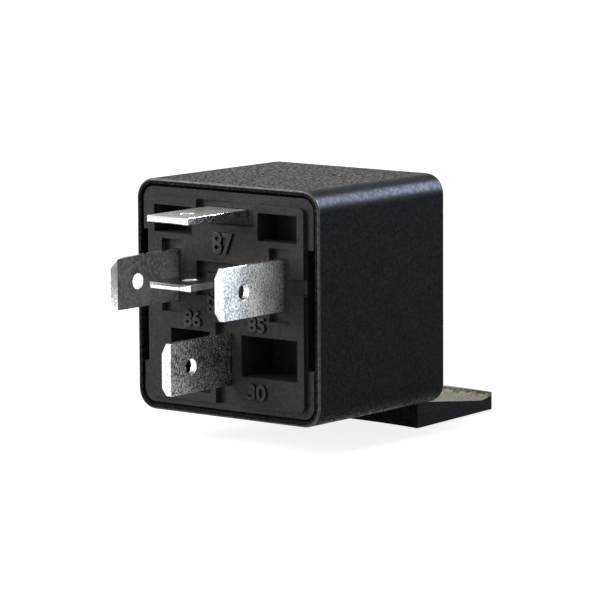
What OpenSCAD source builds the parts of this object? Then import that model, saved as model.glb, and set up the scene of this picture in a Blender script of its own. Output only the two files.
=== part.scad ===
// Five-blade automotive changeover relay: a moulded cover with a screw tab, a base that
// carries five flat blades, and the coil, magnet frame, armature and contacts inside.
// X runs across the base, Y into the relay from the blade side, Z up.  The origin is the
// centre of the screw hole, on the underside of the tab.

/* [Cover] */
// Width of the cover at its mouth
cover_w = 28.2; // [26.6:0.2:32]
// Height of the cover at its mouth
cover_h = 28.3; // [27:0.1:32]
// Depth of the cover, from the mouth to the outside of its closed end
cover_d = 24.8; // [24:0.1:30]
// Thickness of the cover's walls
wall = 1.1; // [0.8:0.05:1.3]
// Outside radius of the four long edges
corner_r = 2.5; // [2:0.1:3.5]
// Draft on the sides, in degrees
draft = 0.1; // [0:0.05:0.5]
// Radius of the edge round the closed end
end_round = 0.45; // [0.2:0.05:0.8]
// Radius of the outer edge of the rim
rim_round = 0.25; // [0.1:0.05:0.4]
// Thickness of the rim, beside the seat for the base
rim_t = 0.6; // [0.45:0.05:0.7]
// Depth of the seat for the base's flange
seat_d = 1.4; // [1:0.1:2]

/* [Mounting tab] */
// Length of the tab behind the closed end, on the centre line
tab_l = 17.2; // [16:0.2:24]
// Width of the tab where it leaves the cover
tab_root_w = 21.3; // [18:0.1:23]
// Width of the tab at its far end
tab_end_w = 18.3; // [15:0.1:22]
// Drop from the cover's lower side to the mounting face
tab_drop = 3.35; // [2.8:0.05:6]
// Thickness of the tab at the closed end
tab_root_t = 3.15; // [2.8:0.05:5]
// Thickness of the tab where it is thinnest, before the ramp
tab_end_t = 1.45; // [1.3:0.05:2.6]
// Length of the curved ramp up to the lip
ramp_l = 2.7; // [1.5:0.1:4]
// Rise of the ramp
ramp_h = 0.4; // [0.2:0.05:0.8]
// Radius of the crowned far end
tab_end_r = 48; // [30:1:120]
// Height of the lip above the ramp
lip_h = 0.35; // [0.2:0.05:1]
// Width of the lip along the far end
lip_w = 0.9; // [0.6:0.1:2]
// Radius of the blend between the tab and the closed end
tab_fillet = 1.6; // [0.8:0.1:3]
// Diameter of the screw hole
screw_d = 5.4; // [4.2:0.1:6.4]
// Distance of the screw hole's centre behind the closed end
screw_y = 9.2; // [8:0.1:11]
// Diameter of the flat under the screw head
screw_seat_d = 9; // [8:0.2:11]
// Depth of the flat under the screw head, below the tab's top at the hole's centre
screw_seat_sink = 0.55; // [0.5:0.05:0.8]

/* [Base] */
// Depth of the flange's face below the rim
flange_in = 0.2; // [0.1:0.05:0.5]
// Gap between the flange and the rim
flange_gap = 0.35; // [0.2:0.05:0.4]
// Height of the raised middle above the rim
middle_out = 0.35; // [0.2:0.05:0.8]
// Width of the raised middle
middle_w = 24.1; // [23.4:0.1:24.4]
// Height of the raised middle above the centre
middle_top = 12.1; // [11.9:0.1:12.6]
// Height of the raised middle below the centre
middle_bottom = 12.4; // [12:0.1:12.6]
// Corner radius of the raised middle
middle_r = 0.8; // [0.4:0.1:1.5]
// Depth of the sunk places round the blades, below the rim
sunk_in = 0.5; // [0.3:0.05:1]
// Thickness of the base's upper part, from the flange's face
base_t = 4.2; // [4:0.1:5]
// Thickness of the floors behind the deep pockets and of their upper wall
pocket_floor = 1.1; // [0.8:0.05:1.4]
// Length of the keying notch on the left edge
left_notch_l = 16.2; // [14:0.2:18]
// Length of the keying notch on the right edge
right_notch_l = 14.5; // [12:0.1:18]
// Height of the notches' middle
notch_z = -0.15; // [-0.5:0.05:0.5]
// Distance of the notches' inner edges from the centre
notch_x = 12.2; // [12.1:0.05:12.4]
// Depth of the notches
notch_d = 3; // [1.5:0.1:3.6]

/* [Base pockets] */
// Distance of the upper pockets' inner edges from the centre
top_pocket_x = 5.1; // [4.8:0.1:6]
// Width of the upper pockets
top_pocket_w = 5.95; // [4:0.05:6.2]
// Height of the upper pockets' lower edges
top_pocket_z = 7.75; // [7.4:0.05:8.4]
// Height of the upper pockets
top_pocket_h = 3.36; // [2.4:0.02:3.6]
// Depth of the upper pockets
top_pocket_d = 3.8; // [2:0.1:4]
// Height of the deep pockets' upper edges
deep_pocket_z = -3.8; // [-4.4:0.1:-3.6]
// Distance of the right deep pocket's inner edge from the centre
right_pocket_x = 2.5; // [2:0.1:3.4]
// Width of the right deep pocket
right_pocket_w = 8.55; // [6:0.05:8.8]
// Height of the right deep pocket
right_pocket_h = 5; // [4.6:0.1:7.4]
// Distance of the left deep pocket's inner edge from the centre
left_pocket_x = 2.45; // [2:0.05:3.4]
// Width of the left deep pocket
left_pocket_w = 6.1; // [5:0.1:8.6]
// Height of the left deep pocket
left_pocket_h = 7.5; // [4.6:0.1:7.8]
// Depth of the deep pockets
deep_pocket_d = 6; // [5:0.1:6.4]

/* [Blades] */
// Width of a blade
blade_w = 6.3; // [5.8:0.1:6.3]
// Thickness of a blade
blade_t = 0.8; // [0.6:0.05:0.9]
// Length of a blade in front of the rim
blade_l = 11.7; // [9:0.1:14]
// Chamfer of a blade's front corners
blade_chamfer = 1.1; // [0.6:0.1:1.5]
// Length of the lead-in bevels on a blade's faces
lead_l = 1; // [0.5:0.1:1.5]
// Thickness left at a blade's front edge
lead_t = 0.3; // [0.2:0.05:0.5]
// Diameter of the detent hole
detent_d = 1.9; // [1.4:0.1:2.2]
// Distance of the detent hole from the blade's front edge
detent_y = 4.7; // [3:0.1:5]
// Offset of the blades and the works from the cover's middle
works_x = -0.2; // [-0.3:0.05:0]
// Distance of the two coil blades from the common blade's middle plane
coil_blade_x = 8.2; // [8:0.1:8.6]
// Height of the coil blades
mid_blade_z = 2.6; // [2.4:0.1:2.8]
// Height of the resting-contact blade above the coil blades
rest_up = 0.3; // [0:0.05:0.4]
// How far the resting-contact blade's front edge stays behind the others
rest_back = 0.4; // [0:0.1:0.8]
// Height of the working-contact blade
top_blade_z = 10.85; // [10.8:0.05:11.2]
// Height of the common blade's middle
common_blade_z = -7; // [-7.5:0.1:-6.9]

/* [Magnet] */
// Thickness of the magnet frame
yoke_t = 1.4; // [1:0.1:1.6]
// Width of the magnet frame and the armature
yoke_w = 13; // [11:0.2:14]
// Gap between the magnet frame's back and the cover's wall
yoke_gap = 0.85; // [0.7:0.05:1]
// Diameter of the core
core_d = 6; // [4.5:0.1:7]
// Diameter of the core's pole head
pole_d = 9; // [8:0.2:11]
// Thickness of the core's pole head
pole_t = 1; // [0.6:0.1:1.4]
// Thickness of the bobbin's flanges
flange_t = 0.8; // [0.6:0.05:1]
// Thickness of the bobbin's tube
tube_t = 0.7; // [0.5:0.05:1]
// Depth of the bobbin's flanges beyond the winding
flange_over = 0.5; // [0.3:0.05:0.8]
// Diameter of the coil's lead wire
lead_d = 0.35; // [0.2:0.05:0.45]

/* [Armature and contacts] */
// Thickness of the armature
armature_t = 1.2; // [0.9:0.05:1.3]
// Angle the armature swings through, in degrees
swing = 3; // [2:0.25:3.5]
// Gap left between the pole and the pulled-in armature
residual = 0.05; // [0.03:0.01:0.1]
// Thickness of the contact spring
spring_t = 0.25; // [0.15:0.05:0.35]
// Width of the contact spring over the armature
spring_w = 9; // [8:0.2:11]
// Width of the contact spring at the contact
spring_tip_w = 5; // [4:0.2:6]
// Length of the contact spring's leg down the magnet frame
spring_leg = 7.5; // [6.5:0.1:8.5]
// Diameter of the moving contact's heads
moving_d = 3.2; // [2.4:0.1:3.6]
// Diameter of the fixed contacts' heads
fixed_d = 3.4; // [2.6:0.1:4]
// Height of a contact's head
contact_h = 0.6; // [0.4:0.05:0.7]
// Diameter of the contacts' and rivets' shanks
shank_d = 1.6; // [1.2:0.1:1.8]
// Distance of the contacts' axis below the working-contact blade
contact_in = 2.4; // [2.2:0.1:2.6]
// Diameter of the rivet heads
rivet_head_d = 2.6; // [2.2:0.1:3.2]
// Height of the rivet heads
rivet_head_h = 0.4; // [0.3:0.05:0.45]

/* [Fits] */
// Clearance all round a blade in its slot
blade_fit = 0.06; // [0.03:0.01:0.12]
// Clearance between the base and the cover's walls
base_fit = 0.1; // [0.05:0.01:0.15]
// Clearance round a rivet, a contact shank or the core in its hole
rivet_fit = 0.03; // [0.02:0.01:0.05]
// Gap between a contact pair at the end of the swing
contact_gap = 0.04; // [0.02:0.01:0.08]
// Clearance between inner pieces that stand side by side
side_gap = 0.25; // [0.2:0.05:0.4]
// Clearance between inner pieces and the pieces that move past them
swing_gap = 0.5; // [0.4:0.05:0.7]

/* [Hidden] */

edge_fn = 32;          // facets of the outlines that a hull spans
$fn = 48;              // facets of every other round
cut = 0.5;             // how far a cutting shape runs past the face it cuts
thin = 0.01;           // thickness of the slices that a hull spans

mouth = [cover_w - 2 * rim_t, cover_h - 2 * rim_t];
inside = [cover_w - 2 * wall, cover_h - 2 * wall];
end_in = cover_d - wall;

// Tab: heights are measured from the middle of the cover
tab_under = -cover_h / 2 - tab_drop;
tab_top = tab_under + tab_root_t;
tab_far = cover_d + tab_l;
lip_y = tab_far - lip_w;
ramp_y = lip_y - ramp_l;
tab_slope = (tab_root_t - tab_end_t) / (ramp_y - cover_d);
tab_arch = wall - 0.2;  // rise of the arch of the tab's front face, in plan
hole_y = cover_d + screw_y;
screw_seat_z = tab_top - tab_slope * screw_y - screw_seat_sink;

// Base
flange = [mouth[0] - 2 * flange_gap, mouth[1] - 2 * flange_gap];
plug = [inside[0] - 2 * base_fit, inside[1] - 2 * base_fit];
plug_r = corner_r - wall - base_fit;
upper_in = flange_in + base_t;
lower_in = deep_pocket_d - middle_out + pocket_floor;
block_z = deep_pocket_z + pocket_floor;
sunk_end = 1.3;        // how far a sunk place reaches past a blade's edges
sunk_x = 8.35;         // distance of the coil blades' sunk places from the cover's middle
sunk_side = 1.55;      // how far a sunk place reaches past its middle plane
sunk_mid = 2.1;        // the same for the resting-contact blade
rest_blade_z = mid_blade_z + rest_up;
channel_h = 1.95;      // height of the channel from a coil blade to the side

// Magnet frame, from the base up
strip_t = blade_t;
yoke_y = lower_in + strip_t;
yoke_top = yoke_y + yoke_t;
yoke_back = -cover_h / 2 + wall + yoke_gap;
yoke_in = yoke_back + yoke_t;
hinge_z = yoke_back + 0.2;

// Contacts, from the closed end down
contact_z = top_blade_z - contact_in;
nc_arm_top = end_in - swing_gap - rivet_head_h;
nc_arm = nc_arm_top - strip_t;
nc_face = nc_arm - contact_h;
contact_reach = contact_z - hinge_z;
moving_top = armature_t + spring_t + contact_h;
pole_y = nc_face - contact_gap - residual
         - moving_top * cos(swing) - (contact_reach + moving_d / 2) * sin(swing);
hinge_y = pole_y + residual;
no_face = hinge_y + armature_t - contact_h - contact_gap;
no_arm_top = no_face - contact_h;
no_arm = no_arm_top - strip_t;
arm_z = contact_z - fixed_d / 2;
arm_side = fixed_d / 2 + 0.1;      // how far a contact's arm reaches past the contact's axis
armature_tip = arm_z - 1.3;
riser_w = 2.6;                     // width of the uprights that carry the fixed contacts
riser_x = blade_w / 2 + 2 * side_gap;
strip_h = 3.6;                     // height of the flat run beside the resting-contact blade

// Coil
bobbin_top = pole_y - pole_t;
bobbin_w = 2 * (coil_blade_x - blade_t / 2 - side_gap);
bobbin_low = yoke_in + 3 * side_gap;
bobbin_high = armature_tip - swing_gap;
bobbin_h = bobbin_high - bobbin_low;
coil_z = (bobbin_high + bobbin_low) / 2;
bore_d = core_d + 2 * base_fit;
tube_d = bore_d + 2 * tube_t;
winding_y = yoke_top + flange_t;
winding_end = bobbin_top - flange_t;
winding_d = min(bobbin_w, bobbin_h) - 2 * flange_over;
yoke_end = coil_z + core_d / 2 + 1.5 * yoke_t;

// Contact spring: its bend wraps the back edge of the magnet frame
bend_r = 0.1;
bend_z = yoke_back + bend_r;
bend_y = hinge_y + (armature_t - bend_r + (bend_z - hinge_z) * sin(swing)) / cos(swing);
spring_end = contact_reach + moving_d / 2 + 0.2;
rivet_x = 3;                       // distance of a rivet of a pair from the middle
leg_rivet_y = pole_y - spring_leg + rivet_head_d / 2 + 0.7;
top_rivet_z = coil_z - 1;
foot_w = 4.8;                      // reach of the common terminal's foot along the magnet frame
foot_rivet_x = 2.8;

// Tails of the coil terminals and their lead wires
shoulder = 0.6;                    // how far a terminal's shoulder overhangs its slot
shoulder_h = 1.2;
tail_w = 0.8;
tail_z = mid_blade_z + blade_w / 2 - tail_w / 2;
tail_top = winding_y + 3;
wraps = 4;                         // turns of lead wire on a tail
wrap_pitch = 0.94 * lead_d;
wrap_r = norm([blade_t, tail_w]) / 2 + lead_d / 2 + rivet_fit;
lead_y = tail_top - wraps * lead_d - lead_d;

// Moves the shapes from the cover's own axes to the frame of the screw hole
module placed() { translate([0, -hole_y, -tab_under]) children(); }

// The same for the blades and the works, which stand a little to one side
module fitted() { placed() translate([works_x, 0, 0]) children(); }

// Turns the shapes of the swinging parts from pulled in to at rest
module swung() {
  translate([0, hinge_y, hinge_z]) rotate([-swing, 0, 0]) translate([0, -hinge_y, -hinge_z]) children();
}

// A box between two corners
module span(a, b) { translate(a) cube(b - a); }

// A flat outline in X and Z, thickened from y on
module slab(y, t) { translate([0, y + t, 0]) rotate([90, 0, 0]) linear_extrude(t) children(); }

// A flat outline in Y and Z, thickened across the middle
module across(w) { translate([-w / 2, 0, 0]) rotate([90, 0, 90]) linear_extrude(w) children(); }

// A round bar along Y, at x and z
module rod(d, x, z, y0, y1) { translate([x, y0, z]) rotate([-90, 0, 0]) cylinder(d = d, h = y1 - y0); }

// A round bar along Z, at x and y
module pin(d, x, y, z0, z1) { translate([x, y, z0]) cylinder(d = d, h = z1 - z0); }

// A rectangle with round corners
module rounded(w, h, r) {
  square([w - 2 * r, h], center = true);
  square([w, h - 2 * r], center = true);
  for (x = [-1, 1], z = [-1, 1]) translate([x * (w / 2 - r), z * (h / 2 - r)]) circle(r);
}

// One slice of the cover's outside: its depth, and how far its edge is drawn in
module cover_slice(y, inset) {
  in = inset + y * tan(draft);
  slab(y, thin) rounded(cover_w - 2 * in, cover_h - 2 * in, corner_r - in, $fn = edge_fn);
}

module cover_outside() {
  hull() {
    for (a = [0, 45, 90]) cover_slice(rim_round * (1 - cos(a)), rim_round * (1 - sin(a)));
    for (a = [0:30:90]) cover_slice(cover_d - thin - end_round * (1 - cos(a)), end_round * (1 - sin(a)));
  }
}

module cover_inside() {
  in = end_in * tan(draft);
  hull() {
    slab(0, thin) rounded(inside[0], inside[1], corner_r - wall, $fn = edge_fn);
    slab(end_in - thin, thin) rounded(inside[0] - 2 * in, inside[1] - 2 * in, corner_r - wall, $fn = edge_fn);
  }
  slab(-cut, seat_d + cut) rounded(mouth[0], mouth[1], corner_r - rim_t);
}

// Side view of the tab: a wedge that hangs from the closed end, with a ramp and a lip at its far end
module tab_side() {
  low = tab_under + tab_end_t;
  lip_top = low + ramp_h + lip_h;
  steps = 6;
  polygon(concat(
    [[end_in, tab_under], [tab_far + cut, tab_under], [tab_far + cut, lip_top], [lip_y, lip_top]],
    [for (i = [steps:-1:0]) [ramp_y + ramp_l * i / steps, low + ramp_h * pow(i / steps, 2)]],
    [[cover_d, tab_top], [cover_d, -cover_h / 2 + wall], [end_in, -cover_h / 2 + wall]]));
  difference() {
    translate([cover_d - wall / 2, tab_top - tab_fillet])
      square([tab_fillet + wall / 2, (2 - tab_slope) * tab_fillet]);
    translate([cover_d + tab_fillet, tab_top + (1 - tab_slope) * tab_fillet]) circle(tab_fillet);
  }
}

// Plan of the tab: it narrows to a crowned far end, and its front face is a shallow arch
module tab_plan() {
  arch_r = (pow(tab_root_w / 2, 2) + pow(tab_arch, 2)) / (2 * tab_arch);
  difference() {
    intersection() {
      polygon([[-tab_root_w / 2, end_in], [tab_root_w / 2, end_in],
               [tab_end_w / 2, tab_far], [-tab_end_w / 2, tab_far]]);
      translate([0, tab_far - tab_end_r]) circle(tab_end_r, $fn = 4 * edge_fn);
    }
    translate([0, end_in + tab_arch - arch_r]) circle(arch_r, $fn = 8 * edge_fn);
  }
}

module cover() {
  color("#222428") placed() difference() {
    union() {
      difference() {
        cover_outside();
        cover_inside();
      }
      intersection() {
        across(tab_root_w) tab_side();
        translate([0, 0, tab_under - cut]) linear_extrude(cover_h) tab_plan();
      }
    }
    pin(screw_d, 0, hole_y, tab_under - cut, tab_top + cut);
    pin(screw_seat_d, 0, hole_y, screw_seat_z, tab_top + cut);
  }
}

// The base's pockets: lower inner corner, width, height and depth
POCKETS = [
  for (s = [0, 1]) [s ? top_pocket_x : -top_pocket_x - top_pocket_w, top_pocket_z,
                    top_pocket_w, top_pocket_h, top_pocket_d],
  [right_pocket_x, deep_pocket_z - right_pocket_h, right_pocket_w, right_pocket_h, deep_pocket_d],
  [-left_pocket_x - left_pocket_w, deep_pocket_z - left_pocket_h, left_pocket_w, left_pocket_h, deep_pocket_d]];

// A sunk place in the base's raised middle, from z0 to z1 and half as wide as reach
module sunk(x, reach, z0, z1, depth = sunk_in) {
  span([x - reach, -middle_out - cut, z0], [x + reach, depth, z1]);
}

module sunk_places() {
  blade_reach = blade_w / 2 + sunk_end;
  for (s = [-1, 1]) {
    sunk(s * sunk_x, sunk_side, mid_blade_z - blade_reach, mid_blade_z + blade_reach);
    sunk(s * middle_w / 2, middle_w / 2 - sunk_x, mid_blade_z - channel_h / 2,
         mid_blade_z + channel_h / 2, flange_in);
  }
  sunk(0, blade_reach, top_blade_z - sunk_side, middle_top + cut, flange_in);
  sunk(0, blade_reach, top_blade_z - sunk_side, middle_top);
  sunk(0, blade_reach, mid_blade_z - sunk_mid, mid_blade_z + sunk_mid);
  sunk(0, sunk_side, -middle_bottom, common_blade_z + blade_reach);
}

// The slots that the blades stand in
module blade_slots() {
  w = blade_w / 2 + blade_fit;
  t = blade_t / 2 + blade_fit;
  y = [-middle_out - cut, lower_in + cut];
  for (z = [rest_blade_z, top_blade_z]) span([-w, y[0], z - t], [w, y[1], z + t]);
  for (b = [[-coil_blade_x, mid_blade_z], [coil_blade_x, mid_blade_z], [0, common_blade_z]])
    span([b[0] - t, y[0], b[1] - w], [b[0] + t, y[1], b[1] + w]);
}

// The notches that key the base to the cover, longer on the left
module notches() {
  y = [-middle_out - cut, flange_in + notch_d];
  out = cover_w / 2;
  span([-out, y[0], notch_z - left_notch_l / 2], [-notch_x, y[1], notch_z + left_notch_l / 2]);
  span([notch_x, y[0], notch_z - right_notch_l / 2], [out, y[1], notch_z + right_notch_l / 2]);
}

// Ribs and posts that hold the magnet frame level on the base
module frame_rests() {
  reach = yoke_w / 2 - side_gap;
  z = [common_blade_z - blade_w / 2, deep_pocket_z];
  span([-reach, lower_in - cut, z[0]], [-blade_t - 2 * side_gap, yoke_y, z[1]]);
  span([foot_w + side_gap, lower_in - cut, z[0]], [reach, yoke_y, z[1]]);
  for (s = [-1, 1])
    translate([s * (reach - 1), 0, 0]) span([-1, upper_in - cut, block_z - cut], [1, yoke_y, block_z + 1.6]);
}

module base() {
  color("#3a383b") placed() difference() {
    union() {
      slab(flange_in, seat_d - flange_in) rounded(flange[0], flange[1], corner_r - rim_t - flange_gap);
      slab(flange_in, upper_in - flange_in) rounded(plug[0], plug[1], plug_r);
      slab(-middle_out, middle_out + 2 * flange_in) translate([0, (middle_top - middle_bottom) / 2])
        rounded(middle_w, middle_top + middle_bottom, middle_r);
      intersection() {
        slab(flange_in, lower_in - flange_in) rounded(plug[0], plug[1], plug_r);
        span([-cover_w / 2, 0, -cover_h / 2], [cover_w / 2, lower_in, block_z]);
      }
      translate([works_x, 0, 0]) frame_rests();
    }
    for (p = POCKETS) span([p[0], -middle_out - cut, p[1]], [p[0] + p[2], p[4] - middle_out, p[1] + p[3]]);
    sunk_places();
    translate([works_x, 0, 0]) blade_slots();
    notches();
  }
}

// A blade lying flat at the origin's height, from its front edge at tip in to y1
module blade(y1, tip = -blade_l) {
  w = blade_w / 2;
  c = blade_chamfer;
  difference() {
    intersection() {
      translate([0, 0, -blade_t]) linear_extrude(2 * blade_t)
        polygon([[-w, y1], [-w, tip + c], [-w + c, tip], [w - c, tip], [w, tip + c], [w, y1]]);
      across(blade_w + 2) polygon([[y1, blade_t / 2], [tip + lead_l, blade_t / 2], [tip, lead_t / 2],
                                   [tip, -lead_t / 2], [tip + lead_l, -blade_t / 2], [y1, -blade_t / 2]]);
    }
    pin(detent_d, 0, tip + detent_y, -blade_t, blade_t);
  }
}

module blade_upright(x, z, y1) { translate([x, 0, z]) rotate([0, 90, 0]) blade(y1); }

module terminal_30() {
  w = blade_w / 2;
  color("#b9bdc0") fitted() difference() {
    union() {
      blade_upright(0, common_blade_z, yoke_y);
      span([-blade_t / 2, lower_in, common_blade_z - w], [foot_w, yoke_y, common_blade_z + w]);
    }
    terminal_30_rivet_shape(rivet_fit);
  }
}

// Flush rivet through the foot and the magnet frame, its head sunk in the foot
module terminal_30_rivet_shape(gap) {
  sink = strip_t * 0.6;
  translate([foot_rivet_x, 0, common_blade_z]) rotate([-90, 0, 0]) {
    translate([0, 0, lower_in - (gap > 0 ? cut : 0)])
      cylinder(d = shank_d + 2 * gap, h = yoke_top - lower_in + (gap > 0 ? 2 * cut : 0));
    translate([0, 0, lower_in]) cylinder(d1 = rivet_head_d + 2 * gap, d2 = shank_d + 2 * gap, h = sink);
  }
}

module terminal_30_rivet() { color("#c8ccce") fitted() terminal_30_rivet_shape(0); }

// A coil terminal: its blade, the shoulder on the base's inner face and the tail for the lead
module coil_terminal(side) {
  x = side * coil_blade_x;
  w = blade_w / 2 + shoulder;
  blade_upright(x, mid_blade_z, upper_in + shoulder_h);
  span([x - blade_t / 2, upper_in, mid_blade_z - w], [x + blade_t / 2, upper_in + shoulder_h, mid_blade_z + w]);
  span([x - blade_t / 2, upper_in, tail_z - tail_w / 2], [x + blade_t / 2, tail_top, tail_z + tail_w / 2]);
}

module terminal_85() { color("#b9bdc0") fitted() coil_terminal(1); }

module terminal_86() { color("#b9bdc0") fitted() coil_terminal(-1); }

module terminal_87() {
  w = blade_w / 2;
  z = [top_blade_z - strip_t / 2, top_blade_z + strip_t / 2];
  color("#b9bdc0") fitted() difference() {
    union() {
      translate([0, 0, top_blade_z]) blade(upper_in + shoulder_h);
      span([-w - shoulder, upper_in, z[0]], [w, upper_in + shoulder_h, z[1]]);
      span([-w, upper_in, z[0]], [-w + riser_w, no_arm_top, z[1]]);
      span([-w, no_arm, arm_z], [arm_side, no_arm_top, z[1]]);
    }
    rod(shank_d + 2 * rivet_fit, 0, contact_z, no_arm - cut, no_arm_top + cut);
  }
}

module terminal_87a() {
  w = blade_w / 2;
  x = riser_x + riser_w;
  z = [top_blade_z - strip_t / 2, top_blade_z + strip_t / 2];
  low = rest_blade_z - strip_t / 2;
  strip = [upper_in, upper_in + strip_t];
  color("#b9bdc0") fitted() difference() {
    union() {
      translate([0, 0, rest_blade_z]) blade(strip[1], rest_back - blade_l);
      span([-w, strip[0], low], [x, strip[1], low + strip_h]);
      span([riser_x, strip[0], low], [x, strip[1], z[1]]);
      span([riser_x, strip[0], z[0]], [x, nc_arm_top, z[1]]);
      span([-arm_side, nc_arm, arm_z], [x, nc_arm_top, z[1]]);
    }
    rod(shank_d + 2 * rivet_fit, 0, contact_z, nc_arm - cut, nc_arm_top + cut);
  }
}

// The magnet frame: an angle with a bent outer edge
module yoke() {
  r = 1.2 * yoke_t;
  color("#a8a9a4") fitted() difference() {
    across(yoke_w) {
      translate([yoke_y, yoke_back + r]) square([yoke_t, yoke_end - yoke_back - r]);
      translate([yoke_y + r, yoke_back]) square([pole_y - yoke_y - r, yoke_t]);
      intersection() {
        translate([yoke_y, yoke_back]) square(r);
        translate([yoke_y + r, yoke_back + r]) difference() {
          circle(r);
          circle(r - yoke_t);
        }
      }
    }
    rod(core_d + 2 * rivet_fit, 0, coil_z, yoke_y - cut, yoke_top + cut);
    for (x = [-rivet_x, rivet_x])
      pin(shank_d + 2 * rivet_fit, x, leg_rivet_y, yoke_back - cut, yoke_in + cut);
    rod(shank_d + 2 * rivet_fit, foot_rivet_x, common_blade_z, yoke_y - cut, yoke_top + cut);
  }
}

module core() {
  color("#9a9c98") fitted() {
    rod(core_d, 0, coil_z, yoke_y, bobbin_top + thin);
    rod(pole_d, 0, coil_z, bobbin_top, pole_y);
  }
}

module bobbin() {
  color("#e6dfcd") fitted() difference() {
    union() {
      for (y = [yoke_top, winding_end])
        slab(y, flange_t) translate([0, coil_z]) rounded(bobbin_w, bobbin_h, 2 * flange_t);
      rod(tube_d, 0, coil_z, yoke_top, bobbin_top);
    }
    rod(bore_d, 0, coil_z, yoke_top - cut, bobbin_top + cut);
  }
}

module coil_winding() {
  color("#a8552a") fitted() difference() {
    rod(winding_d, 0, coil_z, winding_y, winding_end);
    rod(tube_d + 2 * rivet_fit, 0, coil_z, winding_y - cut, winding_end + cut);
  }
}

// A lead wire: turns round the terminal's tail, then straight to the side of the winding
module coil_lead(side) {
  r = winding_d / 2 + lead_d / 2 + rivet_fit;
  d = [-coil_blade_x, coil_z - tail_z];
  run = sqrt(pow(norm(d), 2) - pow(r, 2));
  turn = atan2(-run, -r) - atan2(d[1], d[0]);
  mirror([side < 0 ? 1 : 0, 0, 0]) translate([coil_blade_x, lead_y, tail_z]) {
    for (i = [0:wraps - 1]) translate([0, i * wrap_pitch, 0]) rotate([-90, 0, 0])
      rotate_extrude() translate([wrap_r, 0]) circle(d = lead_d);
    rotate([0, turn, 0]) translate([0, 0, -run]) cylinder(d = lead_d, h = run - wrap_r);
  }
}

module coil_lead_start() { color("#a8552a") fitted() coil_lead(1); }

module coil_lead_finish() { color("#a8552a") fitted() coil_lead(-1); }

module armature() {
  w = yoke_w / 2;
  tip_w = (yoke_w + spring_tip_w) / 4;
  color("#a8a9a4") fitted() swung() difference() {
    slab(hinge_y, armature_t) polygon([[-w, hinge_z], [w, hinge_z], [w, coil_z + core_d / 2],
      [tip_w, armature_tip], [-tip_w, armature_tip], [-w, coil_z + core_d / 2]]);
    for (x = [-rivet_x, rivet_x])
      rod(shank_d + 2 * rivet_fit, x, top_rivet_z, hinge_y - cut, hinge_y + armature_t + cut);
  }
}

// Side view of the spring at rest: down the frame's back, round its edge and out to the contact
module spring_side() {
  n = [cos(swing), -sin(swing)];
  along = [sin(swing), cos(swing)];
  top = [hinge_y, hinge_z] + armature_t * n + spring_end * along;
  arc = [for (i = [0:6]) -90 + i * (90 - swing) / 6];
  bend = [bend_y, bend_z];
  polygon(concat(
    [[pole_y - spring_leg, yoke_back - spring_t], [pole_y - spring_leg, yoke_back]],
    [for (a = arc) bend + bend_r * [cos(a), sin(a)]],
    [top, top + spring_t * n],
    [for (i = [6:-1:0]) bend + (bend_r + spring_t) * [cos(arc[i]), sin(arc[i])]]));
}

module contact_spring() {
  hinge_window = 4;                // width of the window that softens the bend
  shoulder_z = armature_tip + 0.3; // where the spring narrows, past the armature
  color("#b98a4e") fitted() difference() {
    across(spring_w) spring_side();
    swung() for (s = [-1, 1])
      translate([s * (spring_tip_w + spring_w) / 2, 0, 0])
        span([-spring_w / 2, hinge_y, shoulder_z], [spring_w / 2, end_in, cover_h / 2]);
    span([-hinge_window / 2, hinge_y - armature_t, yoke_back - 2 * spring_t],
         [hinge_window / 2, hinge_y + 3 * armature_t, hinge_z + 2]);
    swung() {
      rod(shank_d + 2 * rivet_fit, 0, contact_z, hinge_y, end_in);
      for (x = [-rivet_x, rivet_x]) rod(shank_d + 2 * rivet_fit, x, top_rivet_z, hinge_y, end_in);
    }
    for (x = [-rivet_x, rivet_x])
      pin(shank_d + 2 * rivet_fit, x, leg_rivet_y, yoke_back - spring_t - cut, yoke_back + cut);
  }
}

module moving_contact() {
  y = hinge_y + armature_t;
  color("#d9d9d2") fitted() swung() {
    rod(moving_d, 0, contact_z, y - contact_h, y);
    rod(shank_d, 0, contact_z, y - thin, y + spring_t + thin);
    rod(moving_d, 0, contact_z, y + spring_t, y + spring_t + contact_h);
  }
}

// A fixed contact: its face, its shank through the arm and the headed end behind
module fixed_contact(face, arm, back) {
  s = sign(back - face);
  y = [min(face, arm), max(face, arm)];
  tail = [min(back, back + s * rivet_head_h), max(back, back + s * rivet_head_h)];
  rod(fixed_d, 0, contact_z, y[0], y[1]);
  rod(shank_d, 0, contact_z, min(arm, back) - thin, max(arm, back) + thin);
  rod(rivet_head_d, 0, contact_z, tail[0], tail[1]);
}

module fixed_contact_no() { color("#d9d9d2") fitted() fixed_contact(no_face, no_arm_top, no_arm); }

module fixed_contact_nc() { color("#d9d9d2") fitted() fixed_contact(nc_face, nc_arm, nc_arm_top); }

module spring_rivets() {
  out = yoke_back - spring_t;
  color("#c8ccce") fitted() for (x = [-rivet_x, rivet_x]) {
    pin(rivet_head_d, x, leg_rivet_y, out - rivet_head_h, out);
    pin(shank_d, x, leg_rivet_y, out - thin, yoke_in + thin);
    pin(rivet_head_d, x, leg_rivet_y, yoke_in, yoke_in + rivet_head_h);
  }
}

module armature_rivets() {
  y = hinge_y + armature_t + spring_t;
  color("#c8ccce") fitted() swung() for (x = [-rivet_x, rivet_x]) {
    rod(shank_d, x, top_rivet_z, hinge_y, y + thin);
    rod(rivet_head_d, x, top_rivet_z, y, y + rivet_head_h);
  }
}

cover();
base();
terminal_30();
terminal_85();
terminal_86();
terminal_87();
terminal_87a();
yoke();
core();
bobbin();
coil_winding();
coil_lead_start();
coil_lead_finish();
armature();
contact_spring();
moving_contact();
fixed_contact_no();
fixed_contact_nc();
spring_rivets();
armature_rivets();
terminal_30_rivet();
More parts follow.
